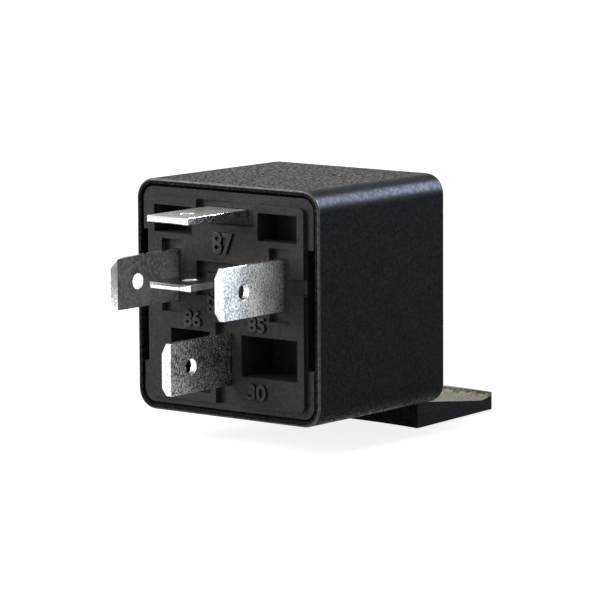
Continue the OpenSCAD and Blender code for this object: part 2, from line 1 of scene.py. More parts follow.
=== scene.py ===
"""Looks of a five-blade automotive changeover relay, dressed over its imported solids.

Every length in this file is in metres unless its name ends in _mm.  The frame is the
solids' own: X across the base, Y into the relay from the blade side, Z up, with the
origin at the screw hole on the tab's underside.
"""

from __future__ import annotations

import logging
import math
from dataclasses import dataclass
from enum import Enum, IntEnum

import bmesh
import bpy
from mathutils import Matrix, Vector

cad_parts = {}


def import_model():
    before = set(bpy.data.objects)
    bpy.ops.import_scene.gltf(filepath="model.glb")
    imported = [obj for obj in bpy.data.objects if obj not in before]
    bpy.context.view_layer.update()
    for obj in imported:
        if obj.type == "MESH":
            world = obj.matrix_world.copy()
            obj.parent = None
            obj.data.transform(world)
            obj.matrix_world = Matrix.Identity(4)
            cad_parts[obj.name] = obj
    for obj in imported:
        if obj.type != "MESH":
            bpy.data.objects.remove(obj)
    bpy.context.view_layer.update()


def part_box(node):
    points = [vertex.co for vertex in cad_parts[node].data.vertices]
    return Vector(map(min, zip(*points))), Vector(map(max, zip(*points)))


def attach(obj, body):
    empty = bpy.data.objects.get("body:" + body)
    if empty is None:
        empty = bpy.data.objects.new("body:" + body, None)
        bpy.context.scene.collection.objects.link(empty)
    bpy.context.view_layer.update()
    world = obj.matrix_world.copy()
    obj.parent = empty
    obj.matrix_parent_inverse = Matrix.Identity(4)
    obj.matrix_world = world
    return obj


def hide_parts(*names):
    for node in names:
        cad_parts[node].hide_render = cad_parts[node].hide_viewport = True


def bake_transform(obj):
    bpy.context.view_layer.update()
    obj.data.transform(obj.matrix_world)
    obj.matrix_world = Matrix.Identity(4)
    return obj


MM = 0.001
WHITE = "ffffff"
log = logging.getLogger("relay")


class Body(Enum):
    """The rigid bodies that pieces ride on."""

    HOUSING = "housing"
    ARMATURE = "moving_armature"


class Wear(IntEnum):
    """How a face of the cover is finished, which is also its material's place on the piece: moulded,
    dusty over a painted reflection, handled, or painted with an edge highlight.
    """

    MOULDED = 0
    DUSTY = 1
    HANDLED = 2
    RUBBED = 3


def linear(code: str) -> tuple[float, float, float, float]:
    """Turn an sRGB hex code into a linear colour.

    Args:
        code: Six hex digits, such as "c0c4c6".

    Returns:
        Red, green, blue and an alpha of 1, in linear light.
    """
    parts = [int(code[i : i + 2], 16) / 255 for i in (0, 2, 4)]
    red, green, blue = (v / 12.92 if v <= 0.04045 else ((v + 0.055) / 1.055) ** 2.4 for v in parts)
    return red, green, blue, 1.0


def direction(azimuth_deg: float, elevation_deg: float) -> Vector:
    """Point away from the relay.

    Args:
        azimuth_deg: Degrees round from the blade side towards positive X.
        elevation_deg: Degrees up from level.

    Returns:
        A vector one unit long.
    """
    turn = math.radians(azimuth_deg)
    rise = math.radians(elevation_deg)
    return Vector((math.sin(turn) * math.cos(rise), -math.cos(turn) * math.cos(rise), math.sin(rise)))


def connect(tree: bpy.types.NodeTree, node: bpy.types.Node, links: dict | None = None,
            **settings) -> None:
    """Give a node its settings and links.

    Args:
        tree: The node tree.
        node: The node.
        links: Input name or number, to the output socket that feeds it.
        **settings: Attributes of the node, or values of its inputs by name.
    """
    for name, value in settings.items():
        if hasattr(node, name):
            setattr(node, name, value)
        else:
            node.inputs[name.replace("_", " ")].default_value = value
    for name, socket in (links or {}).items():
        tree.links.new(socket, node.inputs[name])


def add(tree: bpy.types.NodeTree, kind: str, links: dict | None = None,
        **settings) -> bpy.types.Node:
    """Add one node with its settings and links.

    Args:
        tree: The node tree.
        kind: The node's type, such as "ShaderNodeMath".
        links: Input name or number, to the output socket that feeds it.
        **settings: Attributes of the node, or values of its inputs by name.

    Returns:
        The new node.
    """
    node = tree.nodes.new(kind)
    connect(tree, node, links, **settings)
    return node


def deselect() -> None:
    """Leave nothing selected, so that an operator acts on new geometry alone."""
    if bpy.context.object and bpy.context.object.mode != "OBJECT":
        bpy.ops.object.mode_set(mode="OBJECT")
    bpy.ops.object.select_all(action="DESELECT")


def choose(piece: bpy.types.Object) -> None:
    """Make one object the only selected and the active one.

    Args:
        piece: The object.
    """
    deselect()
    piece.select_set(True)
    bpy.context.view_layer.objects.active = piece


def apply_modifiers(piece: bpy.types.Object) -> None:
    """Apply every modifier of a piece, in order.

    Args:
        piece: The object whose modifiers become mesh.
    """
    choose(piece)
    for modifier in list(piece.modifiers):
        bpy.ops.object.modifier_apply(modifier=modifier.name)


def dress(piece: bpy.types.Object, *materials: bpy.types.Material) -> None:
    """Give a piece its materials; the first covers it all until faces are given another.

    Args:
        piece: The object.
        *materials: Its finishes.
    """
    piece.data.materials.clear()
    for material in materials:
        piece.data.materials.append(material)


# --------------------------------------------------------------------------- finishes


@dataclass(frozen=True)
class Finish:
    """A procedural finish, named for its real material and how its surface was made."""

    name: str

    def begin(self) -> tuple[bpy.types.Material, bpy.types.Node, bpy.types.NodeSocket]:
        """Start a material.

        Returns:
            The new material, its shader and the object's own coordinates.
        """
        material = bpy.data.materials.new(self.name)
        material.use_nodes = True
        tree = material.node_tree
        place = add(tree, "ShaderNodeTexCoord").outputs["Object"]
        return material, tree.nodes["Principled BSDF"], place


@dataclass(frozen=True)
class MouldedPolyamide(Finish):
    """Polyamide moulded against a spark-eroded tool.

    The tool's pits leave a fine dull grain, drawn here at twice its real size so that it shows.
    It takes the gloss off face on, so the IOR is set below polyamide's own 1.53.  The pits hold
    less of the reflection than the skin between them, so a grazing light breaks into flecks.
    Handling wears the skin in clouds some millimetres wide, and dust lies on it as a sheen.
    Each band is the stretch of its noise over which one look turns into the other.
    """

    colour: str
    fleck: str
    roughness: float
    ior: float
    grain_mm: float = 0.3
    grain_depth_mm: float = 0.014
    pit_roughness: float = 0.1
    dust: str = "d8d0c2"
    dust_weight: float = 0.0
    dust_roughness: float = 0.35
    cloud_grains: float = 14.0
    pit_mm: float = 0.44
    pit_shade: float = 0.07
    fleck_band: tuple[float, float] = (0.4, 0.65)
    pit_band: tuple[float, float] = (0.42, 0.6)
    shade_band: tuple[float, float] = (0.4, 0.6)

    def build(self) -> bpy.types.Material:
        """Lay the nodes.

        Returns:
            The material.
        """
        material, shader, place = self.begin()
        tree = material.node_tree
        grain = add(tree, "ShaderNodeTexNoise", {"Vector": place},
                    Scale=1 / (self.grain_mm * MM), Detail=3.0, Roughness=0.6)
        cloud = add(tree, "ShaderNodeTexNoise", {"Vector": place},
                    Scale=1 / (self.cloud_grains * self.grain_mm * MM), Detail=2.0)
        pocks = add(tree, "ShaderNodeTexNoise", {"Vector": place},
                    Scale=1 / (self.pit_mm * MM), Detail=2.0, Roughness=0.6)
        shade = add(tree, "ShaderNodeMapRange", {"Value": grain.outputs["Fac"]},
                    From_Min=self.fleck_band[0], From_Max=self.fleck_band[1])
        tint = add(tree, "ShaderNodeMix", {"Factor": shade.outputs["Result"]},
                   data_type="RGBA", A=linear(self.colour), B=linear(self.fleck))
        worn = add(tree, "ShaderNodeMapRange", {"Value": cloud.outputs["Fac"]},
                   To_Min=self.roughness - 0.05, To_Max=self.roughness + 0.06)
        pits = add(tree, "ShaderNodeMapRange", {"Value": pocks.outputs["Fac"]},
                   From_Min=self.pit_band[0], From_Max=self.pit_band[1],
                   To_Min=self.pit_roughness, To_Max=0.0)
        dull = add(tree, "ShaderNodeMath", {0: worn.outputs["Result"], 1: pits.outputs["Result"]},
                   operation="ADD")
        shine = add(tree, "ShaderNodeMapRange", {"Value": pocks.outputs["Fac"]},
                    From_Min=self.shade_band[0], From_Max=self.shade_band[1],
                    To_Min=0.5 - self.pit_shade, To_Max=0.5 + self.pit_shade)
        bump = add(tree, "ShaderNodeBump", {"Height": grain.outputs["Fac"]},
                   Strength=1.0, Distance=self.grain_depth_mm * MM)
        connect(tree, shader,
                {"Base Color": tint.outputs["Result"], "Roughness": dull.outputs[0],
                 "Specular IOR Level": shine.outputs["Result"], "Normal": bump.outputs["Normal"]},
                IOR=self.ior, Sheen_Weight=self.dust_weight, Sheen_Roughness=self.dust_roughness,
                Sheen_Tint=linear(self.dust))
        return material


@dataclass(frozen=True)
class PlatedSheet(Finish):
    """Metal with a thin electroplated coat.

    The plate's grains are a shallow orange peel, drawn here about three times as coarse as
    they are, so a mirror-like face breaks into specks.  Handling leaves slightly duller clouds
    some millimetres wide.
    """

    colour: str
    stain: str
    roughness: float
    grain_mm: float
    grain_depth_mm: float
    metallic: float = 1.0
    cloud_grains: float = 8.0
    cloud_weight: float = 0.12
    stain_band: tuple[float, float] = (0.4, 0.62)
    dull_band: tuple[float, float] = (0.35, 0.7)

    def build(self) -> bpy.types.Material:
        """Lay the nodes.

        Returns:
            The material.
        """
        material, shader, place = self.begin()
        tree = material.node_tree
        grain = add(tree, "ShaderNodeTexNoise", {"Vector": place},
                    Scale=1 / (self.grain_mm * MM), Detail=4.0, Roughness=0.65)
        cloud = add(tree, "ShaderNodeTexNoise", {"Vector": place},
                    Scale=1 / (self.cloud_grains * self.grain_mm * MM), Detail=3.0)
        soft = add(tree, "ShaderNodeMapRange", {"Value": cloud.outputs["Fac"]},
                   To_Min=-self.cloud_weight, To_Max=self.cloud_weight)
        both = add(tree, "ShaderNodeMath", {0: grain.outputs["Fac"], 1: soft.outputs["Result"]},
                   operation="ADD")
        speck = add(tree, "ShaderNodeMapRange", {"Value": both.outputs[0]},
                    From_Min=self.stain_band[0], From_Max=self.stain_band[1])
        tint = add(tree, "ShaderNodeMix", {"Factor": speck.outputs["Result"]},
                   data_type="RGBA", A=linear(self.colour), B=linear(self.stain))
        dull = add(tree, "ShaderNodeMapRange", {"Value": grain.outputs["Fac"]},
                   From_Min=self.dull_band[0], From_Max=self.dull_band[1],
                   To_Min=self.roughness - 0.08, To_Max=self.roughness + 0.14)
        bump = add(tree, "ShaderNodeBump", {"Height": grain.outputs["Fac"]},
                   Strength=1.0, Distance=self.grain_depth_mm * MM)
        connect(tree, shader,
                {"Base Color": tint.outputs["Result"], "Roughness": dull.outputs["Result"],
                 "Normal": bump.outputs["Normal"]},
                Metallic=self.metallic)
        return material


@dataclass(frozen=True)
class RolledBronze(Finish):
    """Phosphor bronze strip, cold rolled: fine streaks along the rolling direction."""

    name: str = "rolled_phosphor_bronze"
    colour: str = "c58a52"
    streak_colour: str = "a26a38"
    roughness: float = 0.28
    streak_mm: float = 0.12
    streak_depth_mm: float = 0.003
    streak_length: float = 30.0

    def build(self) -> bpy.types.Material:
        """Lay the nodes.

        Returns:
            The material.
        """
        material, shader, place = self.begin()
        tree = material.node_tree
        drawn = add(tree, "ShaderNodeMapping", {"Vector": place},
                    Scale=(1.0, 1 / self.streak_length, 1 / self.streak_length))
        streak = add(tree, "ShaderNodeTexNoise", {"Vector": drawn.outputs[0]},
                     Scale=1 / (self.streak_mm * MM), Detail=2.0)
        tint = add(tree, "ShaderNodeMix", {"Factor": streak.outputs["Fac"]},
                   data_type="RGBA", A=linear(self.colour), B=linear(self.streak_colour))
        dull = add(tree, "ShaderNodeMapRange", {"Value": streak.outputs["Fac"]},
                   To_Min=self.roughness - 0.08, To_Max=self.roughness + 0.1)
        bump = add(tree, "ShaderNodeBump", {"Height": streak.outputs["Fac"]},
                   Strength=0.6, Distance=self.streak_depth_mm * MM)
        connect(tree, shader,
                {"Base Color": tint.outputs["Result"], "Roughness": dull.outputs["Result"],
                 "Normal": bump.outputs["Normal"]},
                Metallic=1.0)
        return material


@dataclass(frozen=True)
class EnamelledCopper(Finish):
    """Drawn copper wire in a clear amber enamel, which lies over the metal as a glossy coat."""

    name: str = "enamelled_copper"
    colour: str = "a4512a"
    dark: str = "7c3618"
    roughness: float = 0.3
    mottle_mm: float = 0.8
    enamel_weight: float = 0.6
    enamel_roughness: float = 0.12

    def build(self) -> bpy.types.Material:
        """Lay the nodes.

        Returns:
            The material.
        """
        material, shader, place = self.begin()
        tree = material.node_tree
        mottle = add(tree, "ShaderNodeTexNoise", {"Vector": place},
                     Scale=1 / (self.mottle_mm * MM), Detail=3.0)
        tint = add(tree, "ShaderNodeMix", {"Factor": mottle.outputs["Fac"]},
                   data_type="RGBA", A=linear(self.colour), B=linear(self.dark))
        dull = add(tree, "ShaderNodeMapRange", {"Value": mottle.outputs["Fac"]},
                   To_Min=self.roughness - 0.08, To_Max=self.roughness + 0.08)
        connect(tree, shader,
                {"Base Color": tint.outputs["Result"], "Roughness": dull.outputs["Result"]},
                Metallic=0.85, Coat_Weight=self.enamel_weight, Coat_Roughness=self.enamel_roughness)
        return material


# --------------------------------------------------------------------------- the stage


@dataclass
class Camera:
    """The camera: where it looks, from which side and how far off."""

    look_at: tuple[float, float, float] = (11.23 * MM, -34.0 * MM, 18.63 * MM)
    azimuth_deg: float = 38.73
    elevation_deg: float = 7.84
    roll_deg: float = -0.31
    distance: float = 0.5157
    lens_mm: float = 261.7
    nearest: float = 0.01
    farthest: float = 50.0

    def build(self) -> None:
        """Make the camera and set it as the scene's own."""
        data = bpy.data.cameras.new("camera")
        data.lens = self.lens_mm
        data.clip_start = self.nearest
        data.clip_end = self.farthest
        camera = bpy.data.objects.new("camera", data)
        bpy.context.scene.collection.objects.link(camera)
        back = direction(self.azimuth_deg, self.elevation_deg)
        camera.location = Vector(self.look_at) + self.distance * back
        aim = back.to_track_quat("Z", "Y").to_matrix().to_4x4()
        spin = Matrix.Rotation(math.radians(self.roll_deg), 4, "Z")
        camera.matrix_world = Matrix.Translation(camera.location) @ aim @ spin
        bpy.context.scene.camera = camera


@dataclass(frozen=True)
class Lamp:
    """One square softbox, aimed at the relay; one that does not fill shows in reflections alone."""

    name: str
    azimuth_deg: float
    elevation_deg: float
    distance: float
    side: float
    power: float
    colour: str = WHITE
    fills: bool = True


@dataclass
class Studio:
    """The floor, the white surroundings and the softboxes."""

    floor_side: float = 6.0
    floor_drop: float = 0.0002
    floor_colour: str = "b4b4b4"
    floor_glow: float = 0.85
    fill: float = 0.2
    centre: tuple[float, float, float] = (0.0, -25.0 * MM, 15.0 * MM)
    lamps: tuple[Lamp, ...] = (
        Lamp("key", azimuth_deg=-40.0, elevation_deg=22.0, distance=0.8, side=0.4, power=5.3),
        Lamp("top", azimuth_deg=-10.0, elevation_deg=70.0, distance=0.7, side=0.4, power=2.6),
        Lamp("edge", azimuth_deg=151.0, elevation_deg=28.0, distance=0.6, side=0.28, power=12.0,
             colour="d4dffc", fills=False),
    )

    def looked_at(self, tree: bpy.types.NodeTree) -> bpy.types.NodeSocket:
        """Tell rays that look (camera, glossy and transmitted ones) from rays that gather light.

        Args:
            tree: The node tree of the floor or of the world.

        Returns:
            An output that is 1 for a ray that looks.
        """
        path = add(tree, "ShaderNodeLightPath").outputs
        seen = add(tree, "ShaderNodeMath", {0: path["Is Camera Ray"], 1: path["Is Glossy Ray"]},
                   operation="ADD")
        return add(tree, "ShaderNodeMath", {0: seen.outputs[0], 1: path["Is Transmission Ray"]},
                   operation="ADD", use_clamp=True).outputs[0]

    def floor(self) -> None:
        """Lay the pale floor, which keeps the relay's shadow."""
        deselect()
        bpy.ops.mesh.primitive_plane_add(size=self.floor_side, location=(0, 0, -self.floor_drop))
        plane = bpy.context.object
        plane.name = "floor"
        material = bpy.data.materials.new("floor_paper")
        material.use_nodes = True
        tree = material.node_tree
        tree.nodes.clear()
        paper = add(tree, "ShaderNodeBsdfDiffuse", Color=linear(self.floor_colour))
        glow = add(tree, "ShaderNodeEmission", Color=linear(WHITE), Strength=self.floor_glow)
        none = add(tree, "ShaderNodeEmission", Strength=0.0)
        lit = add(tree, "ShaderNodeMixShader",
                  {0: self.looked_at(tree), 1: none.outputs[0], 2: glow.outputs[0]})
        both = add(tree, "ShaderNodeAddShader", {0: paper.outputs[0], 1: lit.outputs[0]})
        add(tree, "ShaderNodeOutputMaterial", {"Surface": both.outputs[0]})
        dress(plane, material)

    def surroundings(self) -> None:
        """Make the world white to look at and in reflections, and dimmer as a light."""
        world = bpy.data.worlds.new("white_room")
        bpy.context.scene.world = world
        world.use_nodes = True
        tree = world.node_tree
        tree.nodes.clear()
        level = add(tree, "ShaderNodeMapRange", {"Value": self.looked_at(tree)},
                    To_Min=self.fill, To_Max=1.0)
        sky = add(tree, "ShaderNodeBackground", {"Strength": level.outputs["Result"]},
                  Color=linear(WHITE))
        add(tree, "ShaderNodeOutputWorld", {"Surface": sky.outputs[0]})

    def light(self, lamp: Lamp) -> None:
        """Hang one softbox.

        Args:
            lamp: The softbox: its direction from the relay, size and power.
        """
        data = bpy.data.lights.new(lamp.name, "AREA")
        data.shape = "SQUARE"
        data.size = lamp.side
        data.energy = lamp.power
        data.color = linear(lamp.colour)[:3]
        out = direction(lamp.azimuth_deg, lamp.elevation_deg)
        box = bpy.data.objects.new(lamp.name, data)
        bpy.context.scene.collection.objects.link(box)
        box.location = Vector(self.centre) + lamp.distance * out
        box.rotation_euler = out.to_track_quat("Z", "Y").to_euler()
        box.visible_diffuse = lamp.fills

    def build(self) -> None:
        """Build the floor, the surroundings and the lamps."""
        self.floor()
        self.surroundings()
        for lamp in self.lamps:
            self.light(lamp)
        bpy.context.scene.view_settings.view_transform = "Standard"


# --------------------------------------------------------------------------- the relay


@dataclass(frozen=True)
class Edges:
    """How a copied solid's edges are broken and shaded.

    A width of 0 leaves them as they are.  Vertices closer than the merge distance are one, faces
    that meet at less than the flat angle are one, and edges sharper than the sharp angle are broken.
    """

    width_mm: float = 0.05
    segments: int = 2
    smooth_deg: float = 35.0
    merge_mm: float = 0.0005
    flat_deg: float = 0.5
    sharp_deg: float = 30.0


def finished_copy(node: str, name: str, material: bpy.types.Material, body: Body,
                  edges: Edges) -> bpy.types.Object:
    """Copy a solid, break its sharp edges and let the copy stand for it.

    Args:
        node: The solid's name.
        name: The new piece's name.
        material: The copy's finish.
        body: The body that it rides on.
        edges: How its edges are broken.

    Returns:
        The new piece.
    """
    source = bpy.data.objects[node]
    piece = bpy.data.objects.new(name, source.data.copy())
    bpy.context.scene.collection.objects.link(piece)
    mesh = bmesh.new()
    mesh.from_mesh(piece.data)
    bmesh.ops.remove_doubles(mesh, verts=mesh.verts, dist=edges.merge_mm * MM)
    bmesh.ops.dissolve_limit(mesh, angle_limit=math.radians(edges.flat_deg), verts=mesh.verts,
                             edges=mesh.edges)
    mesh.to_mesh(piece.data)
    mesh.free()
    choose(piece)
    if edges.width_mm:
        bevel = piece.modifiers.new("broken_edges", "BEVEL")
        bevel.width = edges.width_mm * MM
        bevel.segments = edges.segments
        bevel.limit_method = "ANGLE"
        bevel.angle_limit = math.radians(edges.sharp_deg)
        apply_modifiers(piece)
    bpy.ops.object.shade_smooth_by_angle(angle=math.radians(edges.smooth_deg))
    flat = piece.modifiers.new("flat_faces", "WEIGHTED_NORMAL")
    flat.keep_sharp = True
    apply_modifiers(piece)
    dress(piece, material)
    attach(piece, body.value)
    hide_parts(node)
    return piece


@dataclass
class CoverShell:
    """The moulded cover with its screw tab, in four finishes, two of them carrying painted light."""

    edges: Edges = Edges(0.1)
    hole_behind_mm: float = 9.2
    end_margin_mm: float = 0.1
    tab_below_mm: float = 5.0
    rim_mm: float = 0.2
    side: MouldedPolyamide = MouldedPolyamide(
        "spark_textured_polyamide", "020204", "292a30", roughness=0.25, ior=1.1, grain_mm=0.34,
        grain_depth_mm=0.004, pit_roughness=0.4, dust="e0c08a", dust_weight=0.05)
    # Painted reflection: the tab's floor and lip wall are painted pale where the grazing light
    # reflects, under a dust sheen.
    floor: MouldedPolyamide = MouldedPolyamide(
        "dusty_painted_reflection_polyamide", "6a665d", "cdc7b9", roughness=0.22, ior=1.45, grain_mm=0.5,
        grain_depth_mm=0.03, pit_roughness=0.2, dust="e4dccb", dust_weight=1.0)
    corner: MouldedPolyamide = MouldedPolyamide(
        "handled_polyamide", "0a0a0d", "202126", roughness=0.33, ior=1.13, grain_mm=0.34,
        grain_depth_mm=0.002, pit_roughness=0.08)
    # Painted highlight: the slanted edge faces round the open end are painted pale where the light
    # catches them.
    painted_highlight_finish: MouldedPolyamide = MouldedPolyamide(
        "painted_edge_highlight_polyamide", "2b2a29", "514f4c", roughness=0.28, ior=1.36, grain_mm=0.5,
        grain_depth_mm=0.004, pit_roughness=0.1)

    def wear(self, face: bpy.types.MeshPolygon, front: float) -> Wear:
        """Tell how a face of the cover is finished.

        The tab's floor and its lip wall take a dust sheen over a colour painted pale as painted
        reflection, hands polish the long roundings beside the top, and the slanted edge round the
        open end is painted pale as a painted highlight.

        Args:
            face: The face.
            front: Y of the cover's open edge.

        Returns:
            Its state of wear.
        """
        normal = face.normal
        behind_end = face.center.y > (self.end_margin_mm - self.hole_behind_mm) * MM
        if behind_end and face.center.z < self.tab_below_mm * MM:
            # The tab's floor and lip wall take the dust sheen over painted reflection.
            is_floor = normal.z > 0.9
            is_lip_wall = normal.y < -0.5
            return Wear.DUSTY if is_floor or is_lip_wall else Wear.MOULDED
        # The slanted faces round the open end take the painted edge highlight.
        slants_forward = -0.95 < normal.y < -0.2
        if slants_forward and face.center.y < front + self.rim_mm * MM:
            return Wear.RUBBED
        is_rounding = abs(normal.x) > 0.08 and normal.z > 0.08
        return Wear.HANDLED if is_rounding else Wear.MOULDED

    def build(self) -> list[bpy.types.Object]:
        """Dress the cover.

        Returns:
            The cover, in a list of its own.
        """
        piece = finished_copy("cover", "cover_moulding", self.side.build(),
                              Body.HOUSING, self.edges)
        for finish in (self.floor, self.corner, self.painted_highlight_finish):
            piece.data.materials.append(finish.build())
        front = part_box("cover")[0].y
        for face in piece.data.polygons:
            face.material_index = self.wear(face, front)
        return [piece]


@dataclass(frozen=True)
class Mark:
    """A raised number: its words, its middle from the middle of the base's face, and its size."""

    words: str
    across_mm: float
    up_mm: float
    width_mm: float
    height_mm: float
    turn_deg: float = 0.0


@dataclass
class Base:
    """The base, with the generic terminal numbers that stand on its face.

    The stroke values are in the lettering's own units, before a number is stretched to its size.
    """

    edges: Edges = Edges(0.1)
    mark_rise_mm: float = 0.28
    mark_root_mm: float = 0.05
    mark_smooth_deg: float = 30.0
    stroke_depth: float = 0.5
    stroke_gain: float = 0.01
    stroke_bevel: float = 0.02
    stroke_merge: float = 1e-5
    curve_steps: int = 5
    finish: MouldedPolyamide = MouldedPolyamide(
        "glass_filled_polyamide", "252221", "33302f", roughness=0.34, ior=1.24)
    # Lit and shaded copies of the base's polyamide: the strokes' tops carry painted light, their
    # sides painted shade.
    painted_light_crowns: MouldedPolyamide = MouldedPolyamide(
        "painted_light_glass_filled_polyamide", "312e2c", "423e3b", roughness=0.31, ior=1.29)
    painted_shade_walls: MouldedPolyamide = MouldedPolyamide(
        "painted_shade_polyamide", "0a0909", "11100f", roughness=0.22, ior=1.2)
    marks: tuple[Mark, ...] = (
        Mark("87", -0.2, 7.05, 3.2, 2.7),
        Mark("86", -5.0, -2.4, 2.65, 2.05),
        Mark("85", 4.97, -2.35, 2.6, 1.9),
        Mark("30", 4.95, -10.5, 2.85, 2.0),
        Mark("87a", -1.7, 0.05, 3.2, 1.9, 90.0),
    )

    def strokes(self, words: str) -> bpy.types.Object:
        """Make the closed strokes of one number.

        Args:
            words: The number.

        Returns:
            Its mesh, lying at the origin at the lettering's own size.
        """
        deselect()
        bpy.ops.object.text_add()
        lettering = bpy.context.object.data
        lettering.body = words
        lettering.extrude = self.stroke_depth
        lettering.offset = self.stroke_gain
        lettering.bevel_depth = self.stroke_bevel
        lettering.bevel_resolution = 1
        lettering.resolution_u = self.curve_steps
        bpy.ops.object.convert(target="MESH")
        piece = bpy.context.object
        piece.name = "number_" + words
        bpy.ops.object.mode_set(mode="EDIT")
        bpy.ops.mesh.select_all(action="SELECT")
        bpy.ops.mesh.remove_doubles(threshold=self.stroke_merge)
        bpy.ops.mesh.normals_make_consistent(inside=False)
        bpy.ops.object.mode_set(mode="OBJECT")
        return piece

    def number(self, mark: Mark, painted_light_crowns: bpy.types.Material,
               painted_shade_walls: bpy.types.Material) -> bpy.types.Object:
        """Raise one number on the base's face.

        Args:
            mark: The number, its place and its size.
            painted_light_crowns: The finish of the strokes' tops, painted a little lighter than the
                base as painted light.
            painted_shade_walls: The finish of the strokes' sides, painted dark as painted shade round
                the number, and smoother.

        Returns:
            The number as a mesh.
        """
        piece = self.strokes(mark.words)
        spots = [vertex.co.copy() for vertex in piece.data.vertices]
        least = Vector([min(spot[k] for spot in spots) for k in range(3)])
        most = Vector([max(spot[k] for spot in spots) for k in range(3)])
        size = Vector((mark.width_mm, mark.height_mm, self.mark_rise_mm + self.mark_root_mm)) * MM
        stretch = Matrix.Diagonal((size.x / (most.x - least.x), size.y / (most.y - least.y),
                                   size.z / (most.z - least.z), 1.0))
        low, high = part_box("base")
        middle = Vector(((low.x + high.x) / 2, low.y, (low.z + high.z) / 2))
        place = middle + Vector((mark.across_mm * MM, self.mark_root_mm * MM, mark.up_mm * MM))
        stand = Matrix.Rotation(math.radians(90), 4, "X")
        turn = Matrix.Rotation(math.radians(mark.turn_deg), 4, "Z")
        foot = Vector(((least.x + most.x) / 2, (least.y + most.y) / 2, least.z))
        upright = stand @ turn
        piece.matrix_world = Matrix.Translation(place) @ upright @ stretch @ Matrix.Translation(-foot)
        choose(piece)
        bpy.ops.object.transform_apply(location=True, rotation=True, scale=True)
        bpy.ops.object.shade_smooth_by_angle(angle=math.radians(self.mark_smooth_deg))
        dress(piece, painted_light_crowns, painted_shade_walls)
        # The strokes' faces take the painted light, their sides the painted shade that outlines each
        # number.
        for face in piece.data.polygons:
            faces_out = face.normal.y <= -0.9
            face.material_index = 0 if faces_out else 1
        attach(piece, Body.HOUSING.value)
        return piece

    def build(self) -> list[bpy.types.Object]:
        """Dress the base and raise its numbers.

        Returns:
            The base and the numbers.
        """
        material = self.finish.build()
        painted_light_crowns = self.painted_light_crowns.build()
        painted_shade_walls = self.painted_shade_walls.build()
        moulding = finished_copy("base", "base_moulding", material, Body.HOUSING,
                                 self.edges)
        return [moulding] + [self.number(mark, painted_light_crowns, painted_shade_walls) for mark in self.marks]


@dataclass
class Blades:
    """The five terminals, stamped from brass strip and tinned."""

    edges: Edges = Edges(0.05, smooth_deg=12.0)
    plain: PlatedSheet = PlatedSheet(
        "matt_tin_plate", "fbf9f4", "80827f", roughness=0.22, grain_mm=0.3, grain_depth_mm=0.045,
        metallic=0.62)
    flaked: PlatedSheet = PlatedSheet(
        "spangled_tin_plate", "fcfdfd", "5c6265", roughness=0.24, grain_mm=0.3, grain_depth_mm=0.07,
        metallic=0.93)
    worn: PlatedSheet = PlatedSheet(
        "worn_tin_plate", "fdfefe", "7c8487", roughness=0.44, grain_mm=0.28, grain_depth_mm=0.06,
        metallic=0.95)
    bright: PlatedSheet = PlatedSheet(
        "bright_tin_plate", "e0d6ce", "54483f", roughness=0.13, grain_mm=0.3, grain_depth_mm=0.012)
    coined: PlatedSheet = PlatedSheet(
        "burnished_tin_plate", "fefdfb", "dcdcda", roughness=0.2, grain_mm=0.3, grain_depth_mm=0.015)
    lying_blades: tuple[str, ...] = ("87", "87a")

    def burnish(self, piece: bpy.types.Object, number: str, coined: bpy.types.Material) -> None:
        """Give a blade's cut edges, hole and lead-ins the brighter finish that the die leaves there.

        Args:
            piece: The dressed terminal.
            number: Its number.
            coined: The brighter finish.
        """
        piece.data.materials.append(coined)
        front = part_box("base")[0].y
        across = 2 if number in self.lying_blades else 0
        for face in piece.data.polygons:
            is_strip_face = abs(face.normal[across]) >= 0.995
            if face.center.y < front and not is_strip_face:
                face.material_index = 1

    def build(self) -> list[bpy.types.Object]:
        """Dress the terminals: 30 is spangled, 85 worn and 87a bright.

        Returns:
            The terminals.
        """
        plain = self.plain.build()
        coined = self.coined.build()
        finishes = {"30": self.flaked.build(), "85": self.worn.build(), "86": plain, "87": plain,
                    "87a": self.bright.build()}
        pieces = []
        for number, finish in finishes.items():
            piece = finished_copy("terminal_" + number, "blade_" + number, finish,
                                  Body.HOUSING, self.edges)
            self.burnish(piece, number, coined)
            pieces.append(piece)
        return pieces


@dataclass
class Magnet:
    """The magnet frame, the core and the armature, of plated soft iron."""

    edges: Edges = Edges(0.1)
    finish: PlatedSheet = PlatedSheet(
        "nickel_plated_iron", "a9aaa5", "8d8e88", roughness=0.3, grain_mm=0.4, grain_depth_mm=0.01)

    def build(self) -> list[bpy.types.Object]:
        """Dress the iron pieces.

        Returns:
            The magnet frame, the core and the armature.
        """
        iron = self.finish.build()
        bodies = {"yoke": Body.HOUSING, "core": Body.HOUSING, "armature": Body.ARMATURE}
        return [finished_copy(node, node + "_iron", iron, body, self.edges)
                for node, body in bodies.items()]


